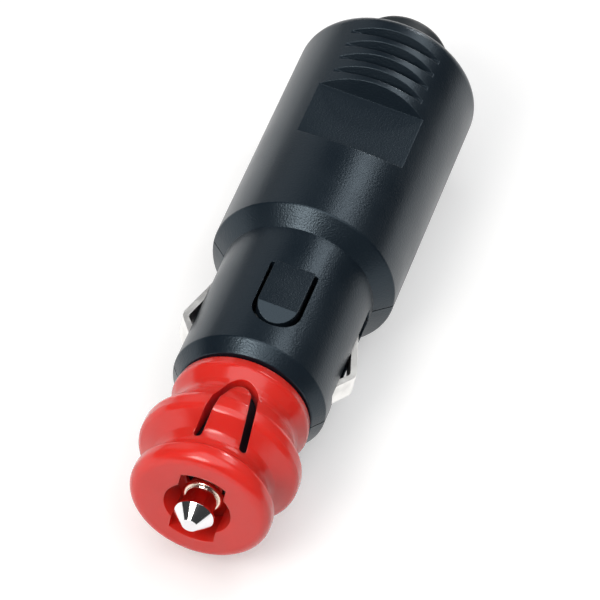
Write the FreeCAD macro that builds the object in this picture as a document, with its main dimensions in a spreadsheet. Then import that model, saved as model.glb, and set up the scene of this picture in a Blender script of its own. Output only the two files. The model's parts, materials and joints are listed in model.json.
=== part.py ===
"""Plug for a vehicle's lighter socket, with a pull-off adapter sleeve over a slimmer nose.

The plug's axis is Y and the tip points to -Y. The origin is on the axis in the plane
where the handle's cylinder meets the shoulder. The two half shells part at Z = 0.
"""
import FreeCAD, Part
import math
import os
import re
import Sketcher

# Driving dimensions in millimetres
SIZES = {
    # Housing shells
    "handle_radius": 12.7,
    "handle_length": 38.9,
    "handle_wall": 1.8,
    "handle_rear_round": 2.2,
    "front_edge_round": 0.3,
    "rear_wall": 2.0,
    "shoulder_length": 2.15,
    "barrel_radius": 10.4,
    "barrel_length": 24.4,
    "barrel_wall": 1.8,
    "barrel_front_wall": 2.0,
    "barrel_front_radius": 9.05,
    "barrel_chamfer_length": 1.85,
    "nose_radius": 6.0,
    "nose_length": 13.1,
    "nose_chamfer": 0.5,
    "tube_wall": 1.3,
    "tube_rear": 3.4,
    "guide_length": 2.0,
    "collar_recess": 3.3,
    "parting_gap": 0.14,
    # Grip on the handle
    "flat_start": 14.4,
    "flat_end": 24.0,
    "flat_depth": 2.4,
    "flat_front_lean": 1.9,
    "wall_lean": 1.1,
    "groove_start": 25.85,
    "groove_floor_end": 26.8,
    "groove_front_draft": 0.3,
    "groove_depth": 1.7,
    "groove_lean": 0.95,
    "groove_pitch": 2.68,
    "groove_count": 4,
    # Snap tongue on the barrel
    "tongue_root": 8.6,
    "tongue_bend": 16.0,
    "tongue_half_width": 3.0,
    "tongue_slot": 0.58,
    "tongue_raise": 0.7,
    "tongue_peak": 16.5,
    "tongue_tip_drop": 0.2,
    # Side contacts and their slots
    "strip_width": 3.5,
    "strip_thickness": 0.9,
    "strip_root_x": 7.8,
    "strip_root_y": 1.6,
    "strip_peak_x": 12.1,
    "strip_peak_y": 15.2,
    "strip_end_x": 9.0,
    "strip_end_y": 19.0,
    "strip_bend_round": 1.6,
    "strip_slot_start": 3.9,
    "strip_slot_end": 20.0,
    "strip_clearance": 0.35,
    "strip_channel_wall": 1.0,
    "strip_slot_overrun": 1.0,
    # Adapter sleeve, with distances along the axis from its rear face
    "adapter_gap": 0.45,
    "adapter_rear_radius": 9.0,
    "adapter_rear_crest": 9.3,
    "adapter_rear_crest_at": 1.6,
    "adapter_groove_radius": 8.25,
    "adapter_groove_at": 3.5,
    "adapter_groove_end": 4.7,
    "adapter_mid_radius": 10.7,
    "adapter_mid_at": 8.4,
    "adapter_mid_end": 10.4,
    "adapter_neck_radius": 7.65,
    "adapter_neck_at": 12.3,
    "adapter_neck_end": 14.0,
    "adapter_front_radius": 9.4,
    "adapter_front_at": 15.6,
    "adapter_length": 18.25,
    "adapter_front_wall": 5.3,
    "adapter_front_round": 1.5,
    "adapter_crest_round": 0.9,
    "adapter_root_round": 1.2,
    "adapter_rear_round": 0.3,
    "adapter_bore_clearance": 0.06,
    "keyhole_radius": 4.45,
    "key_radius": 6.05,
    "key_half_width": 3.0,
    "latch_bend": 5.4,
    "latch_end": 12.9,
    "latch_half_width": 1.95,
    "latch_spread": 1.05,
    "latch_slot": 1.0,
    # Spring-loaded contact
    "shank_radius": 2.1,
    "shank_length": 12.1,
    "tip_radius": 2.6,
    "tip_land": 0.4,
    "tip_cone_length": 1.75,
    "tip_flat_radius": 1.05,
    "head_radius": 2.65,
    "head_length": 1.3,
    "collar_radius": 2.65,
    "collar_length": 1.0,
    "collar_reach": 3.74,
    "collar_round": 0.42,
    # Fuse and spring behind the contact
    "fuse_radius": 2.6,
    "fuse_length": 20.0,
    "fuse_cap_length": 5.0,
    "fuse_cap_wall": 0.2,
    "fuse_end_wall": 0.5,
    "fuse_glass_wall": 0.6,
    "fuse_wire_radius": 0.15,
    "coil_radius": 2.15,
    "coil_wire_radius": 0.25,
    "coil_turns": 6,
    # Terminals
    "terminal_disc_radius": 3.8,
    "terminal_disc_length": 1.0,
    "lug_length": 10.0,
    "lug_width": 4.4,
    "lug_thickness": 0.6,
    "lug_offset": 2.6,
    "lug_height": 2.6,
    "bridge_thickness": 0.6,
    "bridge_base": 0.6,
    "bridge_half_width": 8.2,
    "terminal_screw_at": 7.5,
    "terminal_screw_radius": 1.1,
    "terminal_screw_length": 2.4,
    "terminal_head_radius": 1.9,
    "terminal_head_length": 1.2,
    # Cable boot and clamp
    "boot_collar_radius": 6.6,
    "boot_collar_length": 1.8,
    "boot_neck_radius": 4.9,
    "boot_radius": 6.7,
    "boot_length": 7.2,
    "boot_tip_radius": 5.9,
    "boot_taper_length": 1.2,
    "boot_round": 0.9,
    "cable_radius": 3.2,
    "clamp_at": 25.0,
    "clamp_width": 5.0,
    "clamp_half_length": 8.4,
    "clamp_height": 2.6,
    "clamp_thickness": 1.8,
    "clamp_arch": 0.7,
    "clamp_screw_x": 6.2,
    "clamp_screw_radius": 1.2,
    "clamp_screw_length": 8.0,
    "clamp_post_radius": 2.1,
    # Screws and bosses that join the shells
    "boss_inset": 3.7,
    "boss_y": 10.0,
    "boss_radius": 2.4,
    "housing_screw_radius": 1.2,
    "housing_screw_length": 11.0,
    "screw_head_radius": 2.1,
    "screw_head_length": 1.4,
    "screw_seat_height": 6.4,
    "drive_slot_width": 0.6,
    "drive_slot_depth": 0.7,
    "drive_reach": 1.3,
    # Fits
    "sliding_clearance": 0.3,
    "guide_clearance": 0.05,
    "fixed_fit": 0.02,
    "seat_gap": 0.03,
}

doc = FreeCAD.newDocument("lighter_plug")
sheet = doc.addObject("Spreadsheet::Sheet", "sizes")
for row, (alias, value) in enumerate(SIZES.items(), start=1):
    sheet.set("A%d" % row, alias)
    sheet.set("B%d" % row, str(value))
    sheet.setAlias("B%d" % row, alias)
doc.recompute()

# Distances that several pieces share, written in the sheet's names
NOSE_FRONT = "(-barrel_length-nose_length)"
GUIDE_REAR = "(-barrel_length-nose_length+collar_recess+guide_length)"
FUSE_FRONT = "(%s+head_length+2*seat_gap)" % GUIDE_REAR
FUSE_REAR = "(%s+fuse_length)" % FUSE_FRONT
FUSE_BORE = "(fuse_radius+sliding_clearance)"
TUBE_RADIUS = "(fuse_radius+sliding_clearance+tube_wall)"
HANDLE_BORE = "(handle_radius-handle_wall)"
BARREL_BORE = "(barrel_radius-barrel_wall)"
BOSS_X = "(handle_radius-handle_wall-boss_inset)"


def in_sheet(text):
    """Put the sheet's name before each of its aliases in an expression."""
    return re.sub("[a-z_]+", lambda word: "sizes." + word.group()
                  if word.group() in SIZES else word.group(), text)


def bind(target, name, text):
    """Bind one property to an expression of the sheet's dimensions."""
    target.setExpression(name, in_sheet(text))


def new_body(label):
    """Add an empty body that carries a sub-part's label."""
    body = doc.addObject("PartDesign::Body", label)
    body.Label = label
    return body


def origin_item(body, role):
    """Find one of a body's own origin planes or axes."""
    return next(item for item in body.Origin.OriginFeatures if item.Role == role)


def new_sketch(body, name, plane, offset=None):
    """Attach a sketch to an origin plane, moved along its normal by an expression."""
    sketch = body.newObject("Sketcher::SketchObject", name)
    sketch.AttachmentSupport = (origin_item(body, plane), [""])
    sketch.MapMode = "FlatFace"
    if offset:
        bind(sketch, "AttachmentOffset.Base.z", offset)
    return sketch


def pin_point(sketch, geometry, position, across, along):
    """Hold a point of a sketch at two expressions, measured from the sketch's origin."""
    drawn = sketch.getPoint(geometry, position)
    for kind, text, value in (("DistanceX", across, drawn.x), ("DistanceY", along, drawn.y)):
        if text is not None:
            index = sketch.addConstraint(Sketcher.Constraint(kind, -1, 1, geometry, position, value))
            bind(sketch, "Constraints[%d]" % index, text)


def join_ends(sketch, pairs):
    """Make pairs of end points meet."""
    for first, first_end, second, second_end in pairs:
        sketch.addConstraint(Sketcher.Constraint("Coincident", first, first_end, second, second_end))


def polygon(body, name, plane, corners, offset=None):
    """Draw a closed polygon whose corners are pairs of expressions."""
    sketch = new_sketch(body, name, plane, offset)
    count = len(corners)
    turns = [2.0 * math.pi * step / count for step in range(count)]
    start = [FreeCAD.Vector(math.cos(turn), math.sin(turn), 0) for turn in turns]
    for step in range(count):
        sketch.addGeometry(Part.LineSegment(start[step], start[(step + 1) % count]), False)
    join_ends(sketch, [(step, 2, (step + 1) % count, 1) for step in range(count)])
    for step, (across, along) in enumerate(corners):
        pin_point(sketch, step, 1, across, along)
    return sketch


def circle(body, name, plane, centre, radius, offset=None):
    """Draw a circle at a pair of expressions."""
    sketch = new_sketch(body, name, plane, offset)
    sketch.addGeometry(Part.Circle(FreeCAD.Vector(1, 1, 0), FreeCAD.Vector(0, 0, 1), 1), False)
    pin_point(sketch, 0, 3, *centre)
    index = sketch.addConstraint(Sketcher.Constraint("Radius", 0, 1.0))
    bind(sketch, "Constraints[%d]" % index, radius)
    return sketch


def u_slot(body, name, plane, offset, turn, half_width, slot, bend, end, spread="0"):
    """Draw a U of constant slot width with round ends, its bend towards +Y (turn 1) or -Y (turn -1).

    half_width and spread are measured to the middle of the slot at the bend and at the ends.
    """
    sketch = new_sketch(body, name, plane, offset)
    outer = "(%s+%s/2)" % (half_width, slot)
    inner = "(%s-%s/2)" % (half_width, slot)
    outer_end = "(%s+%s)" % (outer, spread)
    inner_end = "(%s+%s)" % (inner, spread)
    foot = "(%s%+d*%s/2)" % (end, turn, slot)
    bend_angle = 0.0 if turn > 0 else math.pi

    def half_ring(across, along, radius, angle):
        """Draw half a circle, anticlockwise from an angle."""
        ring = Part.Circle(FreeCAD.Vector(across, along, 0), FreeCAD.Vector(0, 0, 1), radius)
        sketch.addGeometry(Part.ArcOfCircle(ring, angle, angle + math.pi), False)

    def leg(side, first, second):
        """Draw a leg from the bend along one side, round its end and back along the other side."""
        corners = [FreeCAD.Vector(side * across, along, 0)
                   for across, along in ((first, 0), (first, -turn), (second, -turn), (second, 0))]
        sketch.addGeometry(Part.LineSegment(corners[0], corners[1]), False)
        half_ring(side * (first + second) / 2, -turn, abs(first - second) / 2, bend_angle + math.pi)
        sketch.addGeometry(Part.LineSegment(corners[2], corners[3]), False)

    half_ring(0, 0, 2.0, bend_angle)
    half_ring(0, 0, 1.0, bend_angle)
    leg(-turn, 2.0, 1.0)
    leg(turn, 1.0, 2.0)
    join_ends(sketch, [(0, 2, 2, 1), (2, 2, 3, 1), (3, 2, 4, 1), (4, 2, 1, 2),
                       (1, 1, 5, 1), (5, 2, 6, 1), (6, 2, 7, 1), (7, 2, 0, 1)])
    for line, side, across, along in (
        (2, -turn, outer, bend), (3, -turn, outer_end, foot), (4, -turn, inner_end, foot),
        (5, turn, inner, bend), (6, turn, inner_end, foot), (7, turn, outer_end, foot),
    ):
        pin_point(sketch, line, 1, "%d*%s" % (side, across), along)
    pin_point(sketch, 4, 2, "%d*%s" % (-turn, inner), bend)
    pin_point(sketch, 7, 2, "%d*%s" % (turn, outer), bend)
    for arc, along in ((0, bend), (1, bend), (3, foot), (6, foot)):
        pin_point(sketch, arc, 3, None, along)
    return sketch


def tongue_plan(body, name, offset, half_width, bend, root):
    """Draw a tongue seen from above: a straight root and a round free end towards -Y."""
    sketch = new_sketch(body, name, "XY_Plane", offset)
    ring = Part.Circle(FreeCAD.Vector(0, 0, 0), FreeCAD.Vector(0, 0, 1), 1)
    sketch.addGeometry(Part.ArcOfCircle(ring, math.pi, 2.0 * math.pi), False)
    for near, far in (((1, 0), (1, 1)), ((1, 1), (-1, 1)), ((-1, 1), (-1, 0))):
        sketch.addGeometry(Part.LineSegment(FreeCAD.Vector(*near, 0), FreeCAD.Vector(*far, 0)), False)
    join_ends(sketch, [(0, 2, 1, 1), (1, 2, 2, 1), (2, 2, 3, 1), (3, 2, 0, 1)])
    pin_point(sketch, 1, 1, half_width, bend)
    pin_point(sketch, 2, 1, half_width, root)
    pin_point(sketch, 3, 1, "-" + half_width, root)
    pin_point(sketch, 3, 2, "-" + half_width, bend)
    pin_point(sketch, 0, 3, None, bend)
    return sketch


def key_slot(body, name, offset):
    """Draw the keyed opening's slot: two arcs about the axis and two straight sides."""
    sketch = new_sketch(body, name, "XZ_Plane", offset)
    ring = Part.Circle(FreeCAD.Vector(0, 0, 0), FreeCAD.Vector(0, 0, 1), 2)
    sketch.addGeometry(Part.ArcOfCircle(ring, math.pi / 3, 2.0 * math.pi / 3), False)
    sketch.addGeometry(Part.LineSegment(FreeCAD.Vector(-1, 1.7, 0), FreeCAD.Vector(-1, -1.7, 0)), False)
    sketch.addGeometry(Part.ArcOfCircle(ring, 4.0 * math.pi / 3, 5.0 * math.pi / 3), False)
    sketch.addGeometry(Part.LineSegment(FreeCAD.Vector(1, -1.7, 0), FreeCAD.Vector(1, 1.7, 0)), False)
    join_ends(sketch, [(0, 2, 1, 1), (1, 2, 2, 1), (2, 2, 3, 1), (3, 2, 0, 1)])
    for arc in (0, 2):
        sketch.addConstraint(Sketcher.Constraint("Coincident", arc, 3, -1, 1))
        index = sketch.addConstraint(Sketcher.Constraint("Radius", arc, 2.0))
        bind(sketch, "Constraints[%d]" % index, "key_radius")
    for line, side in ((1, "-key_half_width"), (3, "key_half_width")):
        for end in (1, 2):
            pin_point(sketch, line, end, side, None)
    return sketch


def disc_segment(body, name, offset, radius, chord):
    """Draw the part of a disc about the axis that lies above a level chord."""
    sketch = new_sketch(body, name, "XZ_Plane", offset)
    ring = Part.Circle(FreeCAD.Vector(0, 0, 0), FreeCAD.Vector(0, 0, 1), SIZES["handle_radius"])
    arc = Part.ArcOfCircle(ring, math.pi / 4, 3.0 * math.pi / 4)
    sketch.addGeometry(arc, False)
    sketch.addGeometry(Part.LineSegment(arc.EndPoint, arc.StartPoint), False)
    join_ends(sketch, [(0, 2, 1, 1), (1, 2, 0, 1)])
    sketch.addConstraint(Sketcher.Constraint("Coincident", 0, 3, -1, 1))
    half_chord = "sqrt((%s)^2-(%s)^2)" % (radius, chord)
    pin_point(sketch, 1, 1, "-" + half_chord, chord)
    pin_point(sketch, 1, 2, half_chord, None)
    return sketch


def revolve(body, sketch, angle=360):
    """Turn a sketch about the plug's axis, towards +Z when it is half a turn."""
    feature = body.newObject("PartDesign::Revolution", sketch.Name + "_turned")
    feature.Profile = sketch
    feature.ReferenceAxis = (sketch, ["V_Axis"])
    feature.Angle = angle
    feature.Reversed = angle < 360
    return feature


def pad(body, sketch, length, both_ways=False, backwards=False):
    """Add material from a sketch."""
    feature = body.newObject("PartDesign::Pad", sketch.Name + "_pad")
    feature.Profile = sketch
    feature.SideType = "Symmetric" if both_ways else "One side"
    feature.Reversed = backwards
    bind(feature, "Length", length)
    return feature


def pocket(body, sketch, length, both_ways=False, backwards=False):
    """Cut material with a sketch, and raise an error when nothing is cut."""
    doc.recompute()
    before = body.Shape.Volume
    feature = body.newObject("PartDesign::Pocket", sketch.Name + "_cut")
    feature.Profile = sketch
    feature.SideType = "Symmetric" if both_ways else "One side"
    feature.Reversed = backwards
    bind(feature, "Length", length)
    doc.recompute()
    if body.Shape.Volume >= before:
        raise RuntimeError("%s cuts nothing" % feature.Name)
    return feature


def round_edges(body, name, rings, radius):
    """Fillet the circular edges about the axis at the given (radius, place along Y) pairs."""
    doc.recompute()
    base = body.Tip
    edges = []
    for index, edge in enumerate(base.Shape.Edges, start=1):
        if not isinstance(edge.Curve, Part.Circle):
            continue
        middle = edge.Curve.Center
        for ring_radius, along in rings:
            if abs(edge.Curve.Radius - ring_radius) < 1e-4 and abs(middle.y - along) < 1e-4:
                edges.append("Edge%d" % index)
    feature = body.newObject("PartDesign::Fillet", name)
    feature.Base = (base, edges)
    bind(feature, "Radius", radius)
    return feature


def place(item, x="0", y="0", z="0"):
    """Bind an object's place to three expressions."""
    for axis, text in (("x", x), ("y", y), ("z", z)):
        bind(item, "Placement.Base." + axis, text)


def turned_part(label, corners, y):
    """Make a piece of revolution about the plug's axis and place it along Y."""
    body = new_body(label)
    revolve(body, polygon(body, label + "_section", "XY_Plane", corners))
    place(body, y=y)
    return body


def half_shell(label):
    """Build the form both half shells share: hollow walls, grip, snap tongue and contact slots."""
    body = new_body(label)
    section = polygon(body, label + "_section", "XY_Plane", [
        ("collar_radius+sliding_clearance", NOSE_FRONT),
        ("nose_radius-nose_chamfer", NOSE_FRONT),
        ("nose_radius", NOSE_FRONT + "+nose_chamfer"),
        ("nose_radius", "-barrel_length"),
        ("barrel_front_radius", "-barrel_length"),
        ("barrel_radius", "-barrel_length+barrel_chamfer_length"),
        ("barrel_radius", "-shoulder_length"),
        ("handle_radius", "0"),
        ("handle_radius", "handle_length"),
        ("boot_neck_radius+sliding_clearance/2", "handle_length"),
        ("boot_neck_radius+sliding_clearance/2", "handle_length-rear_wall"),
        (HANDLE_BORE, "handle_length-rear_wall"),
        (HANDLE_BORE, "handle_wall"),
        (BARREL_BORE, "handle_wall-shoulder_length*2"),
        (BARREL_BORE, "-barrel_length+barrel_front_wall"),
        (TUBE_RADIUS, "-barrel_length+barrel_front_wall"),
        (TUBE_RADIUS, "-tube_rear"),
        (FUSE_BORE, "-tube_rear"),
        (FUSE_BORE, GUIDE_REAR),
        ("shank_radius+guide_clearance", GUIDE_REAR),
        ("shank_radius+guide_clearance", GUIDE_REAR + "-guide_length"),
        ("collar_radius+sliding_clearance", GUIDE_REAR + "-guide_length"),
    ])
    revolve(body, section, 180)
    round_edges(body, label + "_rear_round", [(SIZES["handle_radius"], SIZES["handle_length"])],
                "handle_rear_round")
    round_edges(body, label + "_front_round", [
        (SIZES["handle_radius"], 0),
        (SIZES["barrel_radius"], SIZES["barrel_chamfer_length"] - SIZES["barrel_length"]),
        (SIZES["barrel_front_radius"], -SIZES["barrel_length"]),
    ], "front_edge_round")

    # A plate under the grip keeps the wall whole where the grip is cut into the handle
    plate = disc_segment(body, label + "_plate", "rear_wall-handle_length", "handle_radius-handle_wall/2",
                         "handle_radius-flat_depth-handle_wall")
    pad(body, plate, "handle_length-rear_wall-flat_start+handle_wall")

    # Grip: one flat and a row of leaning grooves behind it
    flat = polygon(body, label + "_flat", "YZ_Plane", [
        ("flat_start", "handle_radius-flat_depth"),
        ("flat_end", "handle_radius-flat_depth"),
        ("flat_end+2*wall_lean", "handle_radius+flat_depth"),
        ("flat_start-2*flat_front_lean", "handle_radius+flat_depth"),
    ])
    pocket(body, flat, "2*handle_radius", both_ways=True)
    groove = polygon(body, label + "_groove", "YZ_Plane", [
        ("groove_start+groove_front_draft", "handle_radius-groove_depth"),
        ("groove_floor_end", "handle_radius-groove_depth"),
        ("groove_floor_end+2*groove_lean", "handle_radius+groove_depth"),
        ("groove_start-groove_front_draft", "handle_radius+groove_depth"),
    ])
    first = pocket(body, groove, "2*handle_radius", both_ways=True)
    row_of_grooves = body.newObject("PartDesign::LinearPattern", label + "_grooves")
    row_of_grooves.Originals = [first]
    row_of_grooves.Direction = (origin_item(body, "Y_Axis"), [""])
    bind(row_of_grooves, "Length", "groove_pitch*(groove_count-1)")
    bind(row_of_grooves, "Occurrences", "groove_count")
    body.Tip = row_of_grooves

    # Snap tongue: a raised wedge freed by a U-shaped slot
    tongue_floor = "(fuse_radius+tube_wall+barrel_radius-barrel_wall)/2"
    half_width = "(tongue_half_width-tongue_slot/2)"
    plan = tongue_plan(body, label + "_tongue", BARREL_BORE, half_width, "-tongue_bend", "-tongue_root")
    pad(body, plan, "barrel_wall+2*tongue_raise")
    wedge = polygon(body, label + "_wedge", "YZ_Plane", [
        ("-tongue_root", "barrel_radius"),
        ("-tongue_peak", "barrel_radius+tongue_raise"),
        ("-tongue_bend-tongue_half_width+tongue_slot/2", "barrel_radius-tongue_tip_drop"),
        ("-tongue_bend-tongue_half_width+tongue_slot/2", "barrel_radius+3*tongue_raise"),
        ("-tongue_root", "barrel_radius+3*tongue_raise"),
    ])
    pocket(body, wedge, "2*tongue_half_width-tongue_slot", both_ways=True)
    slot = u_slot(body, label + "_tongue_slot", "XY_Plane", tongue_floor, -1, "tongue_half_width",
                  "tongue_slot", "-tongue_bend", "-tongue_root")
    pocket(body, slot, "barrel_radius", backwards=True)

    # Slots for the side contacts, open at the parting plane, and channels inside the wall behind them
    for name, side in (("right", ""), ("left", "-")):
        window = polygon(body, label + "_window_" + name, "XY_Plane", [
            (side + "(barrel_radius-barrel_wall-strip_slot_overrun)", "-strip_slot_start"),
            (side + "(barrel_radius+strip_slot_overrun)", "-strip_slot_start"),
            (side + "(barrel_radius+strip_slot_overrun)", "-strip_slot_end"),
            (side + "(barrel_radius-barrel_wall-strip_slot_overrun)", "-strip_slot_end"),
        ])
        pocket(body, window, "strip_width/2+strip_clearance", backwards=True)
        channel = polygon(body, label + "_channel_" + name, "XY_Plane", [
            (side + "(barrel_radius-barrel_wall-strip_slot_overrun)", "handle_wall"),
            (side + "(barrel_radius-strip_channel_wall)", "handle_wall"),
            (side + "(barrel_radius-strip_channel_wall)", "-strip_slot_start"),
            (side + "(barrel_radius-barrel_wall-strip_slot_overrun)", "-strip_slot_start"),
        ])
        pocket(body, channel, "strip_width/2+strip_clearance", backwards=True)

    # The joint faces stand back so that a fine line shows between the shells
    relief = polygon(body, label + "_relief", "XY_Plane", [
        ("-2*handle_radius", "-2*handle_length"),
        ("2*handle_radius", "-2*handle_length"),
        ("2*handle_radius", "2*handle_length"),
        ("-2*handle_radius", "2*handle_length"),
    ])
    pocket(body, relief, "parting_gap/2", backwards=True)
    return body


def wall_height(x):
    """Height of the handle's inner wall over a place beside the axis."""
    return "sqrt(%s^2-(%s)^2)" % (HANDLE_BORE, x)


def add_posts(body, name, x, y, radius, foot, head):
    """Add a pair of round posts between two heights, mirrored about the axis."""
    for side, sign in (("right", ""), ("left", "-")):
        post = circle(body, "%s_%s" % (name, side), "XY_Plane", (sign + x, y), radius, foot)
        pad(body, post, "(%s)-(%s)" % (head, foot))


def cut_holes(body, name, x, y, radius, foot, head):
    """Cut a pair of round holes between two heights, mirrored about the axis."""
    for side, sign in (("right", ""), ("left", "-")):
        hole = circle(body, "%s_%s" % (name, side), "XY_Plane", (sign + x, y), radius, foot)
        pocket(body, hole, "(%s)-(%s)" % (head, foot), backwards=True)


def make_housing_top():
    """Upper half shell, with blind bosses for the housing screws."""
    body = half_shell("housing_top")
    add_posts(body, "top_boss", BOSS_X, "boss_y", "boss_radius", "parting_gap/2", wall_height(BOSS_X))
    cut_holes(body, "top_boss_hole", BOSS_X, "boss_y", "housing_screw_radius+fixed_fit",
              "-parting_gap", "housing_screw_length-screw_seat_height+1")
    return body


def make_housing_bottom():
    """Lower half shell, turned over, with screw seats in its bosses and posts for the clamp."""
    body = half_shell("housing_bottom")
    add_posts(body, "low_boss", BOSS_X, "boss_y", "boss_radius", "parting_gap/2", wall_height(BOSS_X))
    cut_holes(body, "low_boss_hole", BOSS_X, "boss_y", "housing_screw_radius+sliding_clearance",
              "-parting_gap", "handle_radius")
    cut_holes(body, "low_boss_seat", BOSS_X, "boss_y", "screw_head_radius+sliding_clearance",
              "screw_seat_height", "handle_radius")
    add_posts(body, "clamp_post", "clamp_screw_x", "clamp_at", "clamp_post_radius",
              "-clamp_height", wall_height("clamp_screw_x"))
    cut_holes(body, "clamp_post_hole", "clamp_screw_x", "clamp_at", "clamp_screw_radius+fixed_fit",
              "-clamp_height-parting_gap", "clamp_screw_length-clamp_height-clamp_thickness+1")
    body.Placement = FreeCAD.Placement(FreeCAD.Vector(0, 0, 0),
                                       FreeCAD.Rotation(FreeCAD.Vector(0, 1, 0), 180))
    return body


def make_adapter_sleeve():
    """Sleeve over the nose: three rounded flanges, two latches and a keyed front opening."""
    body = new_body("adapter_sleeve")
    bore = "nose_radius+adapter_bore_clearance"
    profile = [
        ("adapter_rear_radius", "0"),
        ("adapter_rear_crest", "adapter_rear_crest_at"),
        ("adapter_groove_radius", "adapter_groove_at"),
        ("adapter_groove_radius", "adapter_groove_end"),
        ("adapter_mid_radius", "adapter_mid_at"),
        ("adapter_mid_radius", "adapter_mid_end"),
        ("adapter_neck_radius", "adapter_neck_at"),
        ("adapter_neck_radius", "adapter_neck_end"),
        ("adapter_front_radius", "adapter_front_at"),
        ("adapter_front_radius", "adapter_length"),
    ]
    corners = [(bore, "0")] + [(radius, "-" + along) for radius, along in profile] + [
        ("keyhole_radius", "-adapter_length"),
        ("keyhole_radius", "-adapter_length+adapter_front_wall"),
        (bore, "-adapter_length+adapter_front_wall"),
    ]
    revolve(body, polygon(body, "adapter_section", "XY_Plane", corners))

    def rings(*steps):
        """Give the radius and place of some of the profile's corners."""
        return [(SIZES[profile[step][0]], -SIZES.get(profile[step][1], 0.0)) for step in steps]

    round_edges(body, "adapter_front_edge", rings(9), "adapter_front_round")
    round_edges(body, "adapter_crests", rings(1, 4, 5, 8), "adapter_crest_round")
    round_edges(body, "adapter_roots", rings(2, 3, 6, 7), "adapter_root_round")
    round_edges(body, "adapter_rear_edge", rings(0), "adapter_rear_round")
    pocket(body, key_slot(body, "adapter_keys", "adapter_length"), "adapter_front_wall")
    latch = u_slot(body, "adapter_latch", "XY_Plane", None, 1, "latch_half_width", "latch_slot",
                   "-latch_bend", "-latch_end", "latch_spread")
    pocket(body, latch, "4*adapter_mid_radius", both_ways=True)
    place(body, y="-barrel_length-adapter_gap")
    return body


def make_contact_tip():
    """Centre contact: blunt cone, shank that slides in the nose, and a head that stops it."""
    return turned_part("contact_tip", [
        ("0", "head_length"),
        ("head_radius", "head_length"),
        ("head_radius", "0"),
        ("shank_radius", "0"),
        ("shank_radius", "-shank_length+tip_land"),
        ("tip_radius", "-shank_length+tip_land"),
        ("tip_radius", "-shank_length"),
        ("tip_flat_radius", "-shank_length-tip_cone_length"),
        ("0", "-shank_length-tip_cone_length"),
    ], GUIDE_REAR + "+seat_gap")


def make_tip_collar():
    """Rounded ring pressed on the contact's shank."""
    body = turned_part("tip_collar", [
        ("shank_radius+fixed_fit", "0"),
        ("collar_radius", "0"),
        ("collar_radius", "collar_length"),
        ("shank_radius+fixed_fit", "collar_length"),
    ], NOSE_FRONT + "-collar_reach")
    round_edges(body, "collar_edges", [(SIZES["collar_radius"], 0), (SIZES["collar_radius"], SIZES["collar_length"])],
                "collar_round")
    return body


def fuse_cap(label, end, inward):
    """Metal cup over one end of the glass; inward is the direction to the fuse's middle."""
    return turned_part(label, [
        ("0", "0"),
        ("fuse_radius", "0"),
        ("fuse_radius", inward + "fuse_cap_length"),
        ("fuse_radius-fuse_cap_wall", inward + "fuse_cap_length"),
        ("fuse_radius-fuse_cap_wall", inward + "fuse_end_wall"),
        ("0", inward + "fuse_end_wall"),
    ], end)


def make_fuse():
    """Glass fuse: two caps, the tube between them and the wire along its middle."""
    glass = "fuse_radius-fuse_cap_wall-fixed_fit"
    first = "fuse_end_wall+fixed_fit"
    last = "fuse_length-fuse_end_wall-fixed_fit"
    tube = [(glass, first), (glass, last), (glass + "-fuse_glass_wall", last), (glass + "-fuse_glass_wall", first)]
    wire = [("0", first), ("fuse_wire_radius", first), ("fuse_wire_radius", last), ("0", last)]
    return [
        fuse_cap("fuse_front_cap", FUSE_FRONT, ""),
        fuse_cap("fuse_rear_cap", FUSE_REAR, "-"),
        turned_part("fuse_glass", tube, FUSE_FRONT),
        turned_part("fuse_wire", wire, FUSE_FRONT),
    ]


def make_contact_spring():
    """Coil between the fuse and the positive terminal."""
    body = new_body("contact_spring")
    wire = circle(body, "coil_wire", "XY_Plane", ("coil_radius", "coil_wire_radius"), "coil_wire_radius")
    coil = body.newObject("PartDesign::AdditiveHelix", "coil")
    coil.Profile = wire
    coil.ReferenceAxis = (wire, ["V_Axis"])
    coil.Mode = "height-turns-angle"
    bind(coil, "Height", "-tube_rear-%s-2*seat_gap-2*coil_wire_radius" % FUSE_REAR)
    bind(coil, "Turns", "coil_turns")
    place(body, y=FUSE_REAR + "+seat_gap")
    return body


def make_positive_terminal():
    """Disc that closes the fuse tube, with a lug for the first core."""
    body = new_body("positive_terminal")
    disc = circle(body, "positive_disc", "XZ_Plane", ("0", "0"), "terminal_disc_radius")
    pad(body, disc, "terminal_disc_length", backwards=True)
    lug = polygon(body, "positive_lug", "YZ_Plane", [
        ("terminal_disc_length/2", "lug_height"),
        ("tube_rear+lug_length", "lug_height"),
        ("tube_rear+lug_length", "lug_height+lug_thickness"),
        ("terminal_disc_length/2", "lug_height+lug_thickness"),
    ])
    pad(body, lug, "lug_width")
    hole = circle(body, "positive_hole", "XY_Plane", ("lug_width/2", "tube_rear+terminal_screw_at"),
                  "terminal_screw_radius+fixed_fit", "lug_height-lug_thickness")
    pocket(body, hole, "3*lug_thickness", backwards=True)
    place(body, y="-tube_rear+seat_gap")
    return body


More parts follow.
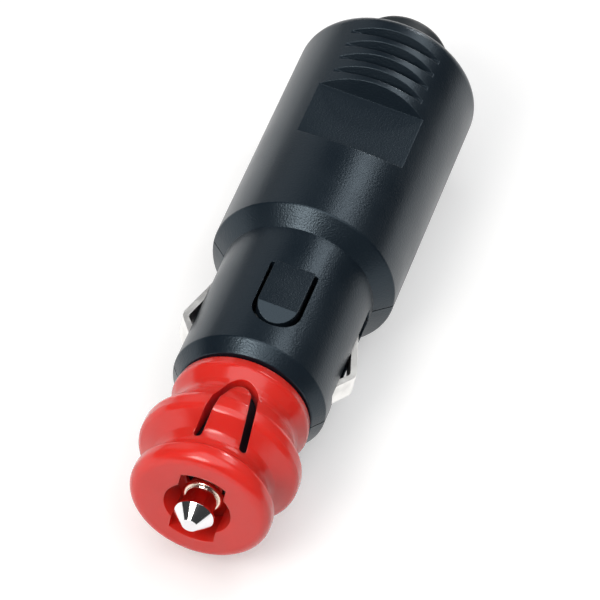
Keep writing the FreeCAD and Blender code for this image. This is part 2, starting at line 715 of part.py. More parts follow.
def make_negative_bridge():
    """Strip bent into a U that carries both side contacts, with a lug for the second core."""
    body = new_body("negative_bridge")
    inner = "(bridge_half_width-bridge_thickness)"
    strip = polygon(body, "bridge_strip", "XY_Plane", [
        ("bridge_half_width", "-strip_root_y+strip_clearance"),
        ("bridge_half_width", "bridge_base+bridge_thickness"),
        ("-bridge_half_width", "bridge_base+bridge_thickness"),
        ("-bridge_half_width", "-strip_root_y+strip_clearance"),
        ("-" + inner, "-strip_root_y+strip_clearance"),
        ("-" + inner, "bridge_base"),
        (inner, "bridge_base"),
        (inner, "-strip_root_y+strip_clearance"),
    ])
    pad(body, strip, "strip_width", both_ways=True)
    lug = polygon(body, "negative_lug", "XY_Plane", [
        ("-lug_offset-lug_width/2", "bridge_base"),
        ("-lug_offset+lug_width/2", "bridge_base"),
        ("-lug_offset+lug_width/2", "lug_length"),
        ("-lug_offset-lug_width/2", "lug_length"),
    ], "-strip_width/2")
    pad(body, lug, "lug_thickness")
    hole = circle(body, "negative_hole", "XY_Plane", ("-lug_offset", "terminal_screw_at"),
                  "terminal_screw_radius+fixed_fit", "-strip_width/2-lug_thickness")
    pocket(body, hole, "3*lug_thickness", backwards=True)
    return body


def make_side_contact(label, side):
    """Spring strip from the bridge out through the barrel's slot; side is "" or "-" for X."""
    body = new_body(label)
    half = "strip_thickness/2"
    strip = polygon(body, label + "_strip", "XY_Plane", [
        (side + "(strip_root_x-%s)" % half, "-strip_root_y"),
        (side + "(strip_peak_x-strip_thickness)", "-strip_peak_y"),
        (side + "(strip_end_x-%s)" % half, "-strip_end_y+strip_thickness/2"),
        (side + "(strip_end_x+%s)" % half, "-strip_end_y"),
        (side + "strip_peak_x", "-strip_peak_y"),
        (side + "(strip_root_x+%s)" % half, "-strip_root_y"),
    ])
    pad(body, strip, "strip_width", both_ways=True)
    doc.recompute()
    for name, inset, radius in (("outer", 0.0, "strip_bend_round"),
                                ("inner", SIZES["strip_thickness"], "strip_bend_round-strip_thickness")):
        base = body.Tip
        bend_x = SIZES["strip_peak_x"] - inset
        edges = ["Edge%d" % index for index, edge in enumerate(base.Shape.Edges, start=1)
                 if all(abs(abs(end.X) - bend_x) < 1e-4 and abs(end.Y + SIZES["strip_peak_y"]) < 1e-4
                        for end in edge.Vertexes)]
        bend = body.newObject("PartDesign::Fillet", "%s_%s_bend" % (label, name))
        bend.Base = (base, edges)
        bind(bend, "Radius", radius)
        doc.recompute()
    return body


def make_cable_boot():
    """Rubber gland held in the rear wall by a groove, with a bore for the cable."""
    body = turned_part("cable_boot", [
        ("cable_radius", "-rear_wall-boot_collar_length-seat_gap"),
        ("boot_collar_radius", "-rear_wall-boot_collar_length-seat_gap"),
        ("boot_collar_radius", "-rear_wall-seat_gap"),
        ("boot_neck_radius", "-rear_wall-seat_gap"),
        ("boot_neck_radius", "seat_gap"),
        ("boot_radius", "seat_gap"),
        ("boot_radius", "boot_length-boot_taper_length"),
        ("boot_tip_radius", "boot_length"),
        ("cable_radius", "boot_length"),
    ], "handle_length")
    round_edges(body, "boot_edges", [
        (SIZES["boot_radius"], SIZES["boot_length"] - SIZES["boot_taper_length"]),
        (SIZES["boot_tip_radius"], SIZES["boot_length"]),
    ], "boot_round")
    return body


def make_cable_clamp():
    """Arched bar that presses the cable, screwed to the lower shell's posts."""
    body = new_body("cable_clamp")
    bar = polygon(body, "clamp_bar", "XZ_Plane", [
        ("-clamp_half_length", "0"),
        ("-cable_radius", "0"),
        ("-cable_radius/2", "clamp_arch"),
        ("cable_radius/2", "clamp_arch"),
        ("cable_radius", "0"),
        ("clamp_half_length", "0"),
        ("clamp_half_length", "clamp_thickness"),
        ("-clamp_half_length", "clamp_thickness"),
    ])
    pad(body, bar, "clamp_width", both_ways=True)
    cut_holes(body, "clamp_hole", "clamp_screw_x", "0", "clamp_screw_radius+guide_clearance",
              "-clamp_thickness", "2*clamp_thickness")
    place(body, y="clamp_at", z="clamp_height+seat_gap")
    return body


def screw(name, radius, length, head_radius, head_length, x, y, z, upwards, cross):
    """Screw with its head's underside at z, its shank up or down, and a cross or a slot for its driver."""
    shank = doc.addObject("Part::Cylinder", name + "_shank")
    head = doc.addObject("Part::Cylinder", name + "_head")
    bind(shank, "Radius", radius)
    bind(shank, "Height", length)
    bind(head, "Radius", head_radius)
    bind(head, "Height", head_length)
    low, high = ("0", "-" + head_length) if upwards else ("-" + length, "0")
    place(shank, x, y, "%s+%s" % (z, low))
    place(head, x, y, "%s+%s" % (z, high))
    finished = doc.addObject("Part::Fuse", name + "_blank")
    finished.Base = head
    finished.Tool = shank
    crown = "-" + head_length if upwards else head_length
    half = "drive_slot_width/2"
    cuts = [("drive_reach", half), (half, "drive_reach")] if cross else [("2*" + head_radius, half)]
    for step, (across, along) in enumerate(cuts):
        slot = doc.addObject("Part::Box", "%s_slot_%d" % (name, step))
        bind(slot, "Length", "2*(%s)" % across)
        bind(slot, "Width", "2*(%s)" % along)
        bind(slot, "Height", "2*drive_slot_depth")
        place(slot, "%s-(%s)" % (x, across), "%s-(%s)" % (y, along), "%s+%s-drive_slot_depth" % (z, crown))
        cut = doc.addObject("Part::Cut", "%s_cut_%d" % (name, step))
        cut.Base = finished
        cut.Tool = slot
        finished = cut
    return finished


def screw_pair(label, radius, length, x, y, z, upwards):
    """Two equal screws left and right of the axis, as one group of separate solids."""
    pair = doc.addObject("Part::Compound", label)
    pair.Label = label
    pair.Links = [screw("%s_%s" % (label, name), radius, length, "screw_head_radius", "screw_head_length",
                        sign + x, y, z, upwards, True) for name, sign in (("right", ""), ("left", "-"))]
    return pair


def terminal_screw(label, x, y, z):
    """Small screw that presses a core on its lug."""
    finished = screw(label, "terminal_screw_radius", "terminal_screw_length", "terminal_head_radius",
                     "terminal_head_length", x, y, z, False, False)
    finished.Label = label
    return finished


sub_parts = [
    make_housing_top(),
    make_housing_bottom(),
    make_adapter_sleeve(),
    make_contact_tip(),
    make_tip_collar(),
    *make_fuse(),
    make_contact_spring(),
    make_positive_terminal(),
    terminal_screw("positive_terminal_screw", "lug_width/2", "terminal_screw_at+seat_gap",
                   "lug_height+lug_thickness+seat_gap"),
    make_negative_bridge(),
    terminal_screw("negative_terminal_screw", "-lug_offset", "terminal_screw_at",
                   "-strip_width/2+lug_thickness+seat_gap"),
    make_side_contact("right_side_contact", ""),
    make_side_contact("left_side_contact", "-"),
    make_cable_boot(),
    make_cable_clamp(),
    screw_pair("cable_clamp_screws", "clamp_screw_radius", "clamp_screw_length", "clamp_screw_x", "clamp_at",
               "clamp_height+clamp_thickness+2*seat_gap", False),
    screw_pair("housing_screws", "housing_screw_radius", "housing_screw_length", BOSS_X, "boss_y",
               "-screw_seat_height-seat_gap", True),
]
doc.recompute()

failed = [item.Name for item in doc.Objects if "Invalid" in item.State or "Error" in item.State]
failed += [item.Label for item in sub_parts if item.Shape.isNull() or not item.Shape.isValid()]
if failed:
    raise RuntimeError("failed: " + ", ".join(failed))

os.makedirs("parts", exist_ok=True)
for item in sub_parts:
    item.Shape.exportStep("parts/%s.step" % item.Label)
    print("%-26s %9.2f mm3 %d solids" % (item.Label, item.Shape.Volume, len(item.Shape.Solids)))
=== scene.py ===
"""Studio look of a lighter plug with a red push-on adapter sleeve.

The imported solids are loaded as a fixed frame. The script gives each of them its finish, makes the
coil spring and the housing screws anew in more detail, adds the ring that stops the sleeve, and
sets up the floor, the lamps and the camera.
"""

import json
import logging
import math
from dataclasses import dataclass, field
from enum import Enum, IntEnum

import bmesh
import bpy
from mathutils import Matrix, Vector

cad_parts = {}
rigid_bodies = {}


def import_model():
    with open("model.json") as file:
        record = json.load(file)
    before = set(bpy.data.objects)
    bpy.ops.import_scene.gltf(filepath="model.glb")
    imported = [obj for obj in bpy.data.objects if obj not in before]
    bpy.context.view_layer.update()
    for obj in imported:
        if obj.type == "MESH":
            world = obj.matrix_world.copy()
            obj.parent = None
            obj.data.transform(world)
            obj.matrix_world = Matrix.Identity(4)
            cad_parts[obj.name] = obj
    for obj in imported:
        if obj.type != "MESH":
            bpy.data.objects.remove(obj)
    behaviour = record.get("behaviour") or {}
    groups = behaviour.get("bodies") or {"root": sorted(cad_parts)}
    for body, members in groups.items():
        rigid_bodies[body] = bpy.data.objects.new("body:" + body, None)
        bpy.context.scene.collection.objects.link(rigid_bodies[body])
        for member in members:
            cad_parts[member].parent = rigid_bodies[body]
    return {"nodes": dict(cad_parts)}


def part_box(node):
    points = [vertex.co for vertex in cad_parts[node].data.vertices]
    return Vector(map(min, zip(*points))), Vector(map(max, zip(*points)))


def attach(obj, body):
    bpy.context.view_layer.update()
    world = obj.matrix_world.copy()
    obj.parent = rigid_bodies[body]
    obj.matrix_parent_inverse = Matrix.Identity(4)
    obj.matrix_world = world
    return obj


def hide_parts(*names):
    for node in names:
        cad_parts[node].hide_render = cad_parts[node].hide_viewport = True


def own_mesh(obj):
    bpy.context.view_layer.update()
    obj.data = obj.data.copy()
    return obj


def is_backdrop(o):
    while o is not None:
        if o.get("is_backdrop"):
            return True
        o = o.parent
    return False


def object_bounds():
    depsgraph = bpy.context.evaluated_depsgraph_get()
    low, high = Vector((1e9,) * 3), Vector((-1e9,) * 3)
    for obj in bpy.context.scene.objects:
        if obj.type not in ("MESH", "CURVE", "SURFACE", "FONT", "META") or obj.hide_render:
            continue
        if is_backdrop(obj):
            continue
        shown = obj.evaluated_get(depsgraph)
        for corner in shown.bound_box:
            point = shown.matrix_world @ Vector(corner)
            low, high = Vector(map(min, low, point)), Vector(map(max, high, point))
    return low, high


LOG = logging.getLogger("lighter_plug")
MM = 0.001
WELD_DISTANCE = 0.001 * MM

Triple = tuple[float, float, float]
Colour = Triple


class Slot(Enum):
    """Material slots of the record."""

    BLACK_PLASTIC = "black_plastic"
    RED_PLASTIC = "red_plastic"
    CHROME = "chrome_plate"
    NICKEL = "nickel_plate"
    BRASS = "brass"
    GLASS = "clear_glass"
    STEEL = "spring_steel"
    RUBBER = "boot_rubber"


class Body(Enum):
    """Bodies that the new pieces move with."""

    HOUSING = "housing"
    ADAPTER = "adapter"


class Tooling(Enum):
    """Direction of the fine marks that making leaves on a metal piece."""

    TURNED = "turned"
    DRAWN = "drawn"


class MixSocket(IntEnum):
    """Places of the Mix node's sockets, several of which share a name."""

    FACTOR = 0
    VECTOR_OUT = 1
    COLOUR_OUT = 2
    VECTOR_A = 4
    VECTOR_B = 5
    COLOUR_A = 6
    COLOUR_B = 7


class ShaderGraph:
    """Adds and joins nodes in one shader tree."""

    def __init__(self, tree: bpy.types.NodeTree) -> None:
        """Keeps the tree and empties it.

        Args:
            tree: Node tree of a material, a world or a node group.
        """
        self.tree = tree
        self.tree.nodes.clear()

    def add(
        self, kind: str, inputs: dict[str, object] | None = None, **settings: object
    ) -> bpy.types.Node:
        """Adds one node.

        Args:
            kind: Name of the node type.
            inputs: Values of unlinked sockets, by socket name.
            **settings: Properties of the node itself.

        Returns:
            The new node.
        """
        node = self.tree.nodes.new(kind)
        for name, value in settings.items():
            setattr(node, name, value)
        for name, value in (inputs or {}).items():
            node.inputs[name].default_value = value
        return node

    def link(self, source: bpy.types.NodeSocket, target: bpy.types.NodeSocket) -> None:
        """Joins an output to an input."""
        self.tree.links.new(source, target)

    def group(
        self, tree: bpy.types.NodeTree, inputs: dict[str, object] | None = None
    ) -> bpy.types.Node:
        """Places a shared node group.

        Args:
            tree: The group's own tree.
            inputs: Values of its sockets, by name.

        Returns:
            The group node.
        """
        return self.add("ShaderNodeGroup", inputs, node_tree=tree)

    def math(
        self, operation: str, first: bpy.types.NodeSocket, second: bpy.types.NodeSocket | float,
        clamp: bool = False,
    ) -> bpy.types.NodeSocket:
        """Works out one operation of a socket and another socket or a number.

        Args:
            operation: Name of the Math node's operation.
            first: First operand.
            second: Second operand.
            clamp: Whether the result is kept between 0 and 1.

        Returns:
            The result's socket.
        """
        node = self.add("ShaderNodeMath", operation=operation, use_clamp=clamp)
        self.link(first, node.inputs[0])
        if isinstance(second, bpy.types.NodeSocket):
            self.link(second, node.inputs[1])
        else:
            node.inputs[1].default_value = second
        return node.outputs[0]

    def spread(
        self, source: bpy.types.NodeSocket, low: float, high: float,
        start: float = 0.0, end: float = 1.0,
    ) -> bpy.types.NodeSocket:
        """Maps a mask to a range of values.

        Args:
            source: Mask to map.
            low: Value at the start.
            high: Value at the end.
            start: Mask value that gives low.
            end: Mask value that gives high.

        Returns:
            The mapped value's socket.
        """
        node = self.add(
            "ShaderNodeMapRange",
            {"From Min": start, "From Max": end, "To Min": low, "To Max": high},
            interpolation_type="SMOOTHSTEP",
        )
        self.link(source, node.inputs["Value"])
        return node.outputs["Result"]

    def blend(
        self, factor: bpy.types.NodeSocket, first: bpy.types.NodeSocket | Colour, second: Colour
    ) -> bpy.types.NodeSocket:
        """Mixes two colours by a mask.

        Args:
            factor: Mask, 0 for the first colour.
            first: Colour's socket or linear colour at 0.
            second: Linear colour at 1.

        Returns:
            The mixed colour's socket.
        """
        node = self.add("ShaderNodeMix", data_type="RGBA")
        if isinstance(first, bpy.types.NodeSocket):
            self.link(first, node.inputs[MixSocket.COLOUR_A])
        else:
            node.inputs[MixSocket.COLOUR_A].default_value = (*first, 1.0)
        node.inputs[MixSocket.COLOUR_B].default_value = (*second, 1.0)
        self.link(factor, node.inputs[MixSocket.FACTOR])
        return node.outputs[MixSocket.COLOUR_OUT]

    def emboss(
        self, surface: bpy.types.Node, height: bpy.types.NodeSocket, depth: float,
        normal: bpy.types.NodeSocket | None = None,
    ) -> None:
        """Lays a fine relief over a surface.

        Args:
            surface: Principled node that gets the relief.
            height: Socket of the relief's height.
            depth: Depth of the relief in metres.
            normal: Socket of the normal below the relief, where it isn't the mesh's own.
        """
        bump = self.add("ShaderNodeBump", {"Strength": 1.0, "Distance": depth})
        self.link(height, bump.inputs["Height"])
        if normal is not None:
            self.link(normal, bump.inputs["Normal"])
        self.link(bump.outputs["Normal"], surface.inputs["Normal"])


class SurfaceEffects:
    """Node groups that more than one finish uses.

    A range gives the mask values at which an effect starts and is full.
    """

    cell_share: float = 0.4
    cloud_range: tuple[float, float] = (0.3, 0.7)
    dull_range: tuple[float, float] = (0.4, 0.7)
    bevel_samples: int = 6
    shelter_samples: int = 4
    shelter_reach: float = 2.0
    open_range: tuple[float, float] = (0.65, 0.95)
    edge_range: tuple[float, float] = (0.99, 0.8)

    def __init__(self) -> None:
        """Builds every group once."""
        self.grain = self._moulded_grain()
        self.edges = self._rounded_edges()
        self.marks = self._tool_marks()

    @staticmethod
    def _new_group(
        name: str, inputs: dict[str, str], outputs: dict[str, str]
    ) -> tuple[ShaderGraph, bpy.types.Node, bpy.types.Node]:
        """Starts a node group.

        Args:
            name: Name of the group.
            inputs: Socket types by input name.
            outputs: Socket types by output name.

        Returns:
            The group's graph, its input node and its output node.
        """
        tree = bpy.data.node_groups.new(name, "ShaderNodeTree")
        graph = ShaderGraph(tree)
        for label, kind in inputs.items():
            tree.interface.new_socket(label, in_out="INPUT", socket_type=kind)
        for label, kind in outputs.items():
            tree.interface.new_socket(label, in_out="OUTPUT", socket_type=kind)
        return graph, graph.add("NodeGroupInput"), graph.add("NodeGroupOutput")

    def _moulded_grain(self) -> bpy.types.NodeTree:
        """Makes the grain that a spark-eroded mould leaves on plastic.

        Returns:
            Group with the grain's height and a slow cloud over the whole piece.
        """
        graph, source, result = self._new_group(
            "moulded_grain",
            {
                "Vector": "NodeSocketVector", "Scale": "NodeSocketFloat",
                "Cloud Scale": "NodeSocketFloat",
            },
            {"Height": "NodeSocketFloat", "Cloud": "NodeSocketFloat"},
        )
        pits = graph.add("ShaderNodeTexNoise", {"Detail": 1.0, "Roughness": 0.5})
        cells = graph.add("ShaderNodeTexVoronoi", feature="SMOOTH_F1")
        cloud = graph.add("ShaderNodeTexNoise", {"Detail": 2.0, "Roughness": 0.5})
        for texture in (pits, cells, cloud):
            graph.link(source.outputs["Vector"], texture.inputs["Vector"])
        graph.link(source.outputs["Scale"], pits.inputs["Scale"])
        graph.link(source.outputs["Scale"], cells.inputs["Scale"])
        graph.link(source.outputs["Cloud Scale"], cloud.inputs["Scale"])
        dimples = graph.math("MULTIPLY", cells.outputs["Distance"], self.cell_share)
        graph.link(graph.math("ADD", pits.outputs["Fac"], dimples), result.inputs["Height"])
        drift = graph.spread(cloud.outputs["Fac"], 0.0, 1.0, *self.cloud_range)
        graph.link(drift, result.inputs["Cloud"])
        return graph.tree

    def _rounded_edges(self) -> bpy.types.NodeTree:
        """Makes the small rounding that every moulded or cut outer edge has.

        Returns:
            Group with the rounded normal and a mask of the edges.
        """
        graph, source, result = self._new_group(
            "rounded_edges",
            {"Radius": "NodeSocketFloat"},
            {"Normal": "NodeSocketVector", "Mask": "NodeSocketFloat"},
        )
        rounding = graph.add("ShaderNodeBevel", samples=self.bevel_samples)
        graph.link(source.outputs["Radius"], rounding.inputs["Radius"])
        shape = graph.add("ShaderNodeNewGeometry")
        # Inner corners stay sharp: only what lies in the open is rounded.
        shelter = graph.add(
            "ShaderNodeAmbientOcclusion", samples=self.shelter_samples, only_local=True
        )
        reach = graph.math("MULTIPLY", source.outputs["Radius"], self.shelter_reach)
        graph.link(reach, shelter.inputs["Distance"])
        outward = graph.spread(shelter.outputs["AO"], 0.0, 1.0, *self.open_range)
        turn = graph.add("ShaderNodeVectorMath", operation="DOT_PRODUCT")
        graph.link(rounding.outputs["Normal"], turn.inputs[0])
        graph.link(shape.outputs["Normal"], turn.inputs[1])
        edge = graph.spread(turn.outputs["Value"], 0.0, 1.0, *self.edge_range)
        graph.link(graph.math("MULTIPLY", edge, outward), result.inputs["Mask"])
        normal = graph.add("ShaderNodeMix", data_type="VECTOR")
        graph.link(outward, normal.inputs[MixSocket.FACTOR])
        graph.link(shape.outputs["Normal"], normal.inputs[MixSocket.VECTOR_A])
        graph.link(rounding.outputs["Normal"], normal.inputs[MixSocket.VECTOR_B])
        graph.link(normal.outputs[MixSocket.VECTOR_OUT], result.inputs["Normal"])
        return graph.tree

    def _tool_marks(self) -> bpy.types.NodeTree:
        """Makes fine lines of turning or drawing with a few broken scratches.

        Returns:
            Group with the marks' height and a mask of dull patches.
        """
        graph, source, result = self._new_group(
            "tool_marks",
            {
                "Vector": "NodeSocketVector", "Stretch": "NodeSocketVector",
                "Patch Scale": "NodeSocketFloat",
            },
            {"Height": "NodeSocketFloat", "Dull": "NodeSocketFloat"},
        )
        stretched = graph.add("ShaderNodeVectorMath", operation="MULTIPLY")
        graph.link(source.outputs["Vector"], stretched.inputs[0])
        graph.link(source.outputs["Stretch"], stretched.inputs[1])
        lines = graph.add("ShaderNodeTexNoise", {"Scale": 1.0, "Detail": 2.0, "Roughness": 0.7})
        graph.link(stretched.outputs[0], lines.inputs["Vector"])
        patches = graph.add("ShaderNodeTexNoise", {"Detail": 3.0, "Roughness": 0.6})
        graph.link(source.outputs["Vector"], patches.inputs["Vector"])
        graph.link(source.outputs["Patch Scale"], patches.inputs["Scale"])
        graph.link(lines.outputs["Fac"], result.inputs["Height"])
        dull = graph.spread(patches.outputs["Fac"], 0.0, 1.0, *self.dull_range)
        graph.link(dull, result.inputs["Dull"])
        return graph.tree


def new_material(name: str) -> tuple[bpy.types.Material, ShaderGraph, bpy.types.Node]:
    """Starts a material with a Principled surface.

    Args:
        name: Name of the material.

    Returns:
        The material, its graph and its Principled node.
    """
    material = bpy.data.materials.new(name)
    material.use_nodes = True
    graph = ShaderGraph(material.node_tree)
    output = graph.add("ShaderNodeOutputMaterial")
    surface = graph.add("ShaderNodeBsdfPrincipled")
    graph.link(surface.outputs["BSDF"], output.inputs["Surface"])
    return material, graph, surface


@dataclass(frozen=True)
class MouldedFinish:
    """Moulded plastic or rubber with a fine grain, a slow drift of tone and rounded edges, which get a
    painted highlight.
    """

    name: str
    slot: Slot
    colour: Colour
    drift_colour: Colour
    # Lighter colour of the outer edges: a painted highlight where the rounded edges would catch the
    # light.
    painted_edge_highlight: Colour
    roughness: float
    roughness_drift: float
    grain_size: float
    grain_depth: float
    edge_radius: float
    cloud_size: float = 12 * MM
    ior: float = 1.5
    sheen_tint: Colour = (1.0, 1.0, 1.0)
    glow: float = 0.0
    glow_depth: float = 3.0 * MM
    glow_reach: Triple = (1.0, 0.15, 0.1)

    def make(self, effects: SurfaceEffects) -> bpy.types.Material:
        """Builds the material.

        Args:
            effects: Shared node groups.

        Returns:
            The finished material.
        """
        material, graph, surface = new_material(self.name)
        place = graph.add("ShaderNodeTexCoord")
        grain = graph.group(
            effects.grain, {"Scale": 1 / self.grain_size, "Cloud Scale": 1 / self.cloud_size}
        )
        graph.link(place.outputs["Object"], grain.inputs["Vector"])
        edges = graph.group(effects.edges, {"Radius": self.edge_radius})
        drift = graph.blend(grain.outputs["Cloud"], self.colour, self.drift_colour)
        # The outer edges get a lighter colour, a painted highlight where the rounded edges would catch
        # the light.
        tone = graph.blend(edges.outputs["Mask"], drift, self.painted_edge_highlight)
        graph.link(tone, surface.inputs["Base Color"])
        low, high = self.roughness - self.roughness_drift, self.roughness + self.roughness_drift
        graph.link(graph.spread(grain.outputs["Cloud"], low, high), surface.inputs["Roughness"])
        graph.emboss(surface, grain.outputs["Height"], self.grain_depth, edges.outputs["Normal"])
        surface.inputs["IOR"].default_value = self.ior
        surface.inputs["Specular Tint"].default_value = (*self.sheen_tint, 1.0)
        if self.glow:
            surface.inputs["Subsurface Weight"].default_value = self.glow
            surface.inputs["Subsurface Radius"].default_value = self.glow_reach
            surface.inputs["Subsurface Scale"].default_value = self.glow_depth
        return material


@dataclass(frozen=True)
class MetalFinish:
    """Plated or bare metal with fine tool marks."""

    name: str
    slot: Slot
    colour: Colour
    dull_colour: Colour
    roughness: float
    dull_roughness: float
    tooling: Tooling
    mark_pitch: float
    mark_depth: float
    edge_radius: float
    mark_aspect: float = 60.0
    patch_size: float = 3 * MM

    def stretch(self) -> Triple:
        """Scale of the mark pattern along X, Y and Z."""
        fine, long = 1 / self.mark_pitch, 1 / (self.mark_aspect * self.mark_pitch)
        return (long, fine, long) if self.tooling is Tooling.TURNED else (fine, long, fine)

    def make(self, effects: SurfaceEffects) -> bpy.types.Material:
        """Builds the material.

        Args:
            effects: Shared node groups.

        Returns:
            The finished material.
        """
        material, graph, surface = new_material(self.name)
        place = graph.add("ShaderNodeTexCoord")
        marks = graph.group(
            effects.marks, {"Stretch": self.stretch(), "Patch Scale": 1 / self.patch_size}
        )
        graph.link(place.outputs["Object"], marks.inputs["Vector"])
        edges = graph.group(effects.edges, {"Radius": self.edge_radius})
        tone = graph.blend(marks.outputs["Dull"], self.colour, self.dull_colour)
        graph.link(tone, surface.inputs["Base Color"])
        dulled = graph.spread(marks.outputs["Dull"], self.roughness, self.dull_roughness)
        graph.link(dulled, surface.inputs["Roughness"])
        graph.emboss(surface, marks.outputs["Height"], self.mark_depth, edges.outputs["Normal"])
        surface.inputs["Metallic"].default_value = 1.0
        return material


@dataclass(frozen=True)
class GlassFinish:
    """Clear drawn glass with faint waves."""

    name: str
    slot: Slot
    colour: Colour
    roughness: float
    haze_roughness: float
    wave_size: float
    wave_depth: float
    cloud_size: float
    ior: float = 1.5

    def make(self, effects: SurfaceEffects) -> bpy.types.Material:
        """Builds the material.

        Args:
            effects: Shared node groups.

        Returns:
            The finished material.
        """
        material, graph, surface = new_material(self.name)
        place = graph.add("ShaderNodeTexCoord")
        waves = graph.group(
            effects.grain, {"Scale": 1 / self.wave_size, "Cloud Scale": 1 / self.cloud_size}
        )
        graph.link(place.outputs["Object"], waves.inputs["Vector"])
        graph.emboss(surface, waves.outputs["Height"], self.wave_depth)
        haze = graph.spread(waves.outputs["Cloud"], self.roughness, self.haze_roughness)
        graph.link(haze, surface.inputs["Roughness"])
        surface.inputs["Base Color"].default_value = (*self.colour, 1.0)
        surface.inputs["IOR"].default_value = self.ior
        surface.inputs["Transmission Weight"].default_value = 1.0
        return material


# Each moulded finish's edge colour is lighter than its body: a painted highlight on its outer edges.
FINISHES = (
    MouldedFinish(
        "black_moulded_plastic", Slot.BLACK_PLASTIC,
        colour=(0.0055, 0.0105, 0.0165), drift_colour=(0.008, 0.0135, 0.0198),
        painted_edge_highlight=(0.024, 0.032, 0.04), roughness=0.31, roughness_drift=0.03,
        grain_size=0.23 * MM, grain_depth=0.024 * MM, edge_radius=0.16 * MM,
        sheen_tint=(0.68, 0.86, 1.0),
    ),
    MouldedFinish(
        "red_moulded_plastic", Slot.RED_PLASTIC,
        colour=(0.70, 0.032, 0.023), drift_colour=(0.74, 0.037, 0.027),
        painted_edge_highlight=(0.77, 0.045, 0.035), roughness=0.18, roughness_drift=0.03,
        grain_size=0.6 * MM, grain_depth=0.003 * MM, edge_radius=0.2 * MM, glow=0.85,
    ),
    MouldedFinish(
        "dark_boot_rubber", Slot.RUBBER,
        colour=(0.012, 0.017, 0.021), drift_colour=(0.017, 0.023, 0.028),
        painted_edge_highlight=(0.034, 0.042, 0.049), roughness=0.55, roughness_drift=0.06,
        grain_size=0.4 * MM, grain_depth=0.015 * MM, edge_radius=0.2 * MM,
    ),
    MetalFinish(
        "mirror_chrome", Slot.CHROME, colour=(0.87, 0.87, 0.88), dull_colour=(0.82, 0.82, 0.84),
        roughness=0.06, dull_roughness=0.12, tooling=Tooling.TURNED, mark_pitch=0.08 * MM,
        mark_depth=0.0006 * MM, edge_radius=0.06 * MM,
    ),
    MetalFinish(
        "bright_nickel", Slot.NICKEL, colour=(0.92, 0.91, 0.89), dull_colour=(0.82, 0.82, 0.80),
        roughness=0.36, dull_roughness=0.5, tooling=Tooling.DRAWN, mark_pitch=0.12 * MM,
        mark_depth=0.001 * MM, edge_radius=0.08 * MM,
    ),
    MetalFinish(
        "rose_brass", Slot.BRASS, colour=(0.9, 0.76, 0.66), dull_colour=(0.8, 0.62, 0.5),
        roughness=0.16, dull_roughness=0.26, tooling=Tooling.TURNED, mark_pitch=0.1 * MM,
        mark_depth=0.001 * MM, edge_radius=0.06 * MM,
    ),
    MetalFinish(
        "drawn_spring_steel", Slot.STEEL, colour=(0.6, 0.6, 0.6), dull_colour=(0.42, 0.41, 0.4),
        roughness=0.29, dull_roughness=0.4, tooling=Tooling.DRAWN, mark_pitch=0.08 * MM,
        mark_depth=0.001 * MM, edge_radius=0.04 * MM,
    ),
    GlassFinish(
        "clear_fuse_glass", Slot.GLASS, colour=(0.95, 0.97, 0.97), roughness=0.02,
        haze_roughness=0.04, wave_size=2 * MM, wave_depth=0.002 * MM, cloud_size=4 * MM,
    ),
)


class Wardrobe:
    """Makes every finish once and puts it on pieces."""

    def __init__(self, nodes: dict[str, bpy.types.Object]) -> None:
        """Builds the materials.

        Args:
            nodes: CAD nodes by name.
        """
        effects = SurfaceEffects()
        self.nodes = nodes
        self.materials = {finish.slot: finish.make(effects) for finish in FINISHES}

    def dress(self, slot: Slot, *names: str) -> None:
        """Gives CAD nodes their finish.

        Args:
            slot: Which finish.
            *names: Names of the nodes.
        """
        for name in names:
            node = self.nodes[name]
            if not node.material_slots:
                node.data.materials.append(None)
            for place in node.material_slots:
                place.material = self.materials[slot]
            LOG.info("%s dressed in %s", name, slot.value)

    def finish_piece(
        self, piece: bpy.types.Object, slot: Slot, body: Body, *stands_for: str
    ) -> None:
        """Gives a new piece its finish, its body and the CAD nodes that it stands for.

        Args:
            piece: The new piece.
            slot: Which finish.
            body: Body that it moves with.
            *stands_for: CAD nodes that it replaces.
        """
        piece.data.materials.append(self.materials[slot])
        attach(piece, body.value)
        if stands_for:
            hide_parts(*stands_for)
        LOG.info("%s made in %s", piece.name, slot.value)


def piece_from(shape: bmesh.types.BMesh, name: str, smooth_angle: float = 35.0) -> bpy.types.Object:
    """Turns a finished bmesh into an object at the origin.

    Args:
        shape: Shape in metres, in the plug's frame; it is freed.
        name: Name of the piece.
        smooth_angle: Edges sharper than this stay sharp, in degrees.

    Returns:
        The new object.
    """
    bmesh.ops.remove_doubles(shape, verts=shape.verts, dist=WELD_DISTANCE)
    bmesh.ops.recalc_face_normals(shape, faces=shape.faces)
    for face in shape.faces:
        face.smooth = True
    for edge in shape.edges:
        edge.smooth = edge.calc_face_angle(0.0) < math.radians(smooth_angle)
    mesh = bpy.data.meshes.new(name)
    shape.to_mesh(mesh)
    shape.free()
    piece = bpy.data.objects.new(name, mesh)
    bpy.context.scene.collection.objects.link(piece)
    return piece


